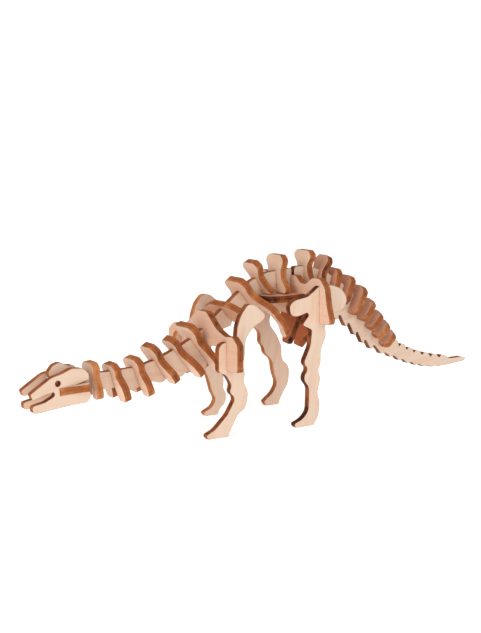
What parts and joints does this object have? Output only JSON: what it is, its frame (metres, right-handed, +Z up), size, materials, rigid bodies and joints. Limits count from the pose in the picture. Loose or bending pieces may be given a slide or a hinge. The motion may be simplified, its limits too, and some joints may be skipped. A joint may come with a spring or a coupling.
{
  "type": "slot-together wooden dinosaur skeleton model",
  "caption": "Long-necked dinosaur skeleton of slotted flat plywood plates, standing on its legs with the neck held low and a thin notched tail.",
  "frame": {"origin": "on the surface it stands on, under the middle of its bounding box", "axes": "+X towards the tail, -X towards the head, -Y the animal's left side, +Z up"},
  "size_m": [0.2501, 0.0648, 0.0796],
  "materials": {
    "plywood": "matt laser-cut plywood, scorched edges"
  },
  "bodies": {
    "front_spine": {"front_spine": "plywood"},
    "neck_vertebra_1": {"neck_vertebra_1": "plywood"},
    "neck_vertebra_2": {"neck_vertebra_2": "plywood"},
    "neck_vertebra_3": {"neck_vertebra_3": "plywood"},
    "neck_vertebra_4": {"neck_vertebra_4": "plywood"},
    "neck_vertebra_5": {"neck_vertebra_5": "plywood"},
    "neck_vertebra_6": {"neck_vertebra_6": "plywood"},
    "short_rib_plate": {"short_rib_plate": "plywood"},
    "long_rib_plate": {"long_rib_plate": "plywood"},
    "back_vertebra_1": {"back_vertebra_1": "plywood"},
    "back_vertebra_2": {"back_vertebra_2": "plywood"},
    "sacral_vertebra_1": {"sacral_vertebra_1": "plywood"},
    "sacral_vertebra_2": {"sacral_vertebra_2": "plywood"},
    "tail_vertebra_1": {"tail_vertebra_1": "plywood"},
    "tail_vertebra_2": {"tail_vertebra_2": "plywood"},
    "tail_vertebra_3": {"tail_vertebra_3": "plywood"},
    "tail_vertebra_4": {"tail_vertebra_4": "plywood"},
    "tail_vertebra_5": {"tail_vertebra_5": "plywood"},
    "tail_vertebra_6": {"tail_vertebra_6": "plywood"},
    "tail_vertebra_7": {"tail_vertebra_7": "plywood"},
    "shoulder_bridge": {"shoulder_bridge": "plywood"},
    "front_leg_left": {"front_leg_left": "plywood"},
    "front_leg_right": {"front_leg_right": "plywood"},
    "hip_frame": {"spine_joiner": "plywood", "hip_bridge": "plywood"},
    "hind_leg_left": {"hind_leg_left": "plywood"},
    "hind_leg_right": {"hind_leg_right": "plywood"},
    "rear_spine": {"rear_spine": "plywood"},
    "head_key": {"head_key": "plywood"},
    "head_side_left": {"head_side_left": "plywood"},
    "head_side_right": {"head_side_right": "plywood"}
  },
  "joints": [
    {"name": "neck_vertebra_1_lift", "type": "slide", "parent": "front_spine", "child": "neck_vertebra_1", "axis": [-0.0872, 0, 0.9962], "range_m": [0, 0.0122]},
    {"name": "neck_vertebra_2_lift", "type": "slide", "parent": "front_spine", "child": "neck_vertebra_2", "axis": [-0.2756, 0, 0.9613], "range_m": [0, 0.0144]},
    {"name": "neck_vertebra_3_lift", "type": "slide", "parent": "front_spine", "child": "neck_vertebra_3", "axis": [-0.3256, 0, 0.9455], "range_m": [0, 0.0139]},
    {"name": "neck_vertebra_4_lift", "type": "slide", "parent": "front_spine", "child": "neck_vertebra_4", "axis": [-0.5299, 0, 0.848], "range_m": [0, 0.0128]},
    {"name": "neck_vertebra_5_lift", "type": "slide", "parent": "front_spine", "child": "neck_vertebra_5", "axis": [-0.6157, 0, 0.788], "range_m": [0, 0.0167]},
    {"name": "neck_vertebra_6_lift", "type": "slide", "parent": "front_spine", "child": "neck_vertebra_6", "axis": [-0.5736, 0, 0.8192], "range_m": [0, 0.0218]},
    {"name": "short_rib_plate_lift", "type": "slide", "parent": "front_spine", "child": "short_rib_plate", "axis": [-0.6157, 0, 0.788], "range_m": [0, 0.009]},
    {"name": "long_rib_plate_lift", "type": "slide", "parent": "front_spine", "child": "long_rib_plate", "axis": [-0.5878, 0, 0.809], "range_m": [0, 0.0272]},
    {"name": "back_vertebra_1_lift", "type": "slide", "parent": "front_spine", "child": "back_vertebra_1", "axis": [-0.454, 0, 0.891], "range_m": [0, 0.0092]},
    {"name": "back_vertebra_2_lift", "type": "slide", "parent": "front_spine", "child": "back_vertebra_2", "axis": [0, 0, 1], "range_m": [0, 0.0113]},
    {"name": "sacral_vertebra_1_lift", "type": "slide", "parent": "rear_spine", "child": "sacral_vertebra_1", "axis": [0, 0, 1], "range_m": [0, 0.0123]},
    {"name": "sacral_vertebra_2_lift", "type": "slide", "parent": "rear_spine", "child": "sacral_vertebra_2", "axis": [0.4226, 0, 0.9063], "range_m": [0, 0.0399]},
    {"name": "tail_vertebra_1_lift", "type": "slide", "parent": "rear_spine", "child": "tail_vertebra_1", "axis": [0.2419, 0, 0.9703], "range_m": [0, 0.0111]},
    {"name": "tail_vertebra_2_lift", "type": "slide", "parent": "rear_spine", "child": "tail_vertebra_2", "axis": [0.342, 0, 0.9397], "range_m": [0, 0.0096]},
    {"name": "tail_vertebra_3_lift", "type": "slide", "parent": "rear_spine", "child": "tail_vertebra_3", "axis": [0.4067, 0, 0.9135], "range_m": [0, 0.0101]},
    {"name": "tail_vertebra_4_lift", "type": "slide", "parent": "rear_spine", "child": "tail_vertebra_4", "axis": [0.515, 0, 0.8572], "range_m": [0, 0.0086]},
    {"name": "tail_vertebra_5_lift", "type": "slide", "parent": "rear_spine", "child": "tail_vertebra_5", "axis": [0.6428, 0, 0.766], "range_m": [0, 0.0078]},
    {"name": "tail_vertebra_6_lift", "type": "slide", "parent": "rear_spine", "child": "tail_vertebra_6", "axis": [0.7071, 0, 0.7071], "range_m": [0, 0.0075]},
    {"name": "tail_vertebra_7_lift", "type": "slide", "parent": "rear_spine", "child": "tail_vertebra_7", "axis": [0.7314, 0, 0.682], "range_m": [0, 0.0074]},
    {"name": "shoulder_bridge_lift", "type": "slide", "parent": "front_spine", "child": "shoulder_bridge", "axis": [0, 0, 1], "range_m": [0, 0.009]},
    {"name": "front_leg_left_drop", "type": "slide", "parent": "shoulder_bridge", "child": "front_leg_left", "axis": [0, 0, -1], "range_m": [0, 0.016]},
    {"name": "front_leg_right_drop", "type": "slide", "parent": "shoulder_bridge", "child": "front_leg_right", "axis": [0, 0, -1], "range_m": [0, 0.016]},
    {"name": "joiner_pull", "type": "slide", "parent": "front_spine", "child": "hip_frame", "axis": [1, 0, 0], "range_m": [0, 0.0145]},
    {"name": "hind_leg_left_drop", "type": "slide", "parent": "hip_frame", "child": "hind_leg_left", "axis": [0, 0, -1], "range_m": [0, 0.019]},
    {"name": "hind_leg_right_drop", "type": "slide", "parent": "hip_frame", "child": "hind_leg_right", "axis": [0, 0, -1], "range_m": [0, 0.019]},
    {"name": "rear_spine_pull", "type": "slide", "parent": "hip_frame", "child": "rear_spine", "axis": [1, 0, 0], "range_m": [0, 0.0085]},
    {"name": "head_key_pull", "type": "slide", "parent": "front_spine", "child": "head_key", "axis": [-0.9962, 0, -0.0872], "range_m": [0, 0.008]},
    {"name": "head_side_left_pull", "type": "slide", "parent": "head_key", "child": "head_side_left", "axis": [-0.9962, 0, -0.0872], "range_m": [0, 0.014]},
    {"name": "head_side_right_pull", "type": "slide", "parent": "head_key", "child": "head_side_right", "axis": [-0.9962, 0, -0.0872], "range_m": [0, 0.014]}
  ]
}
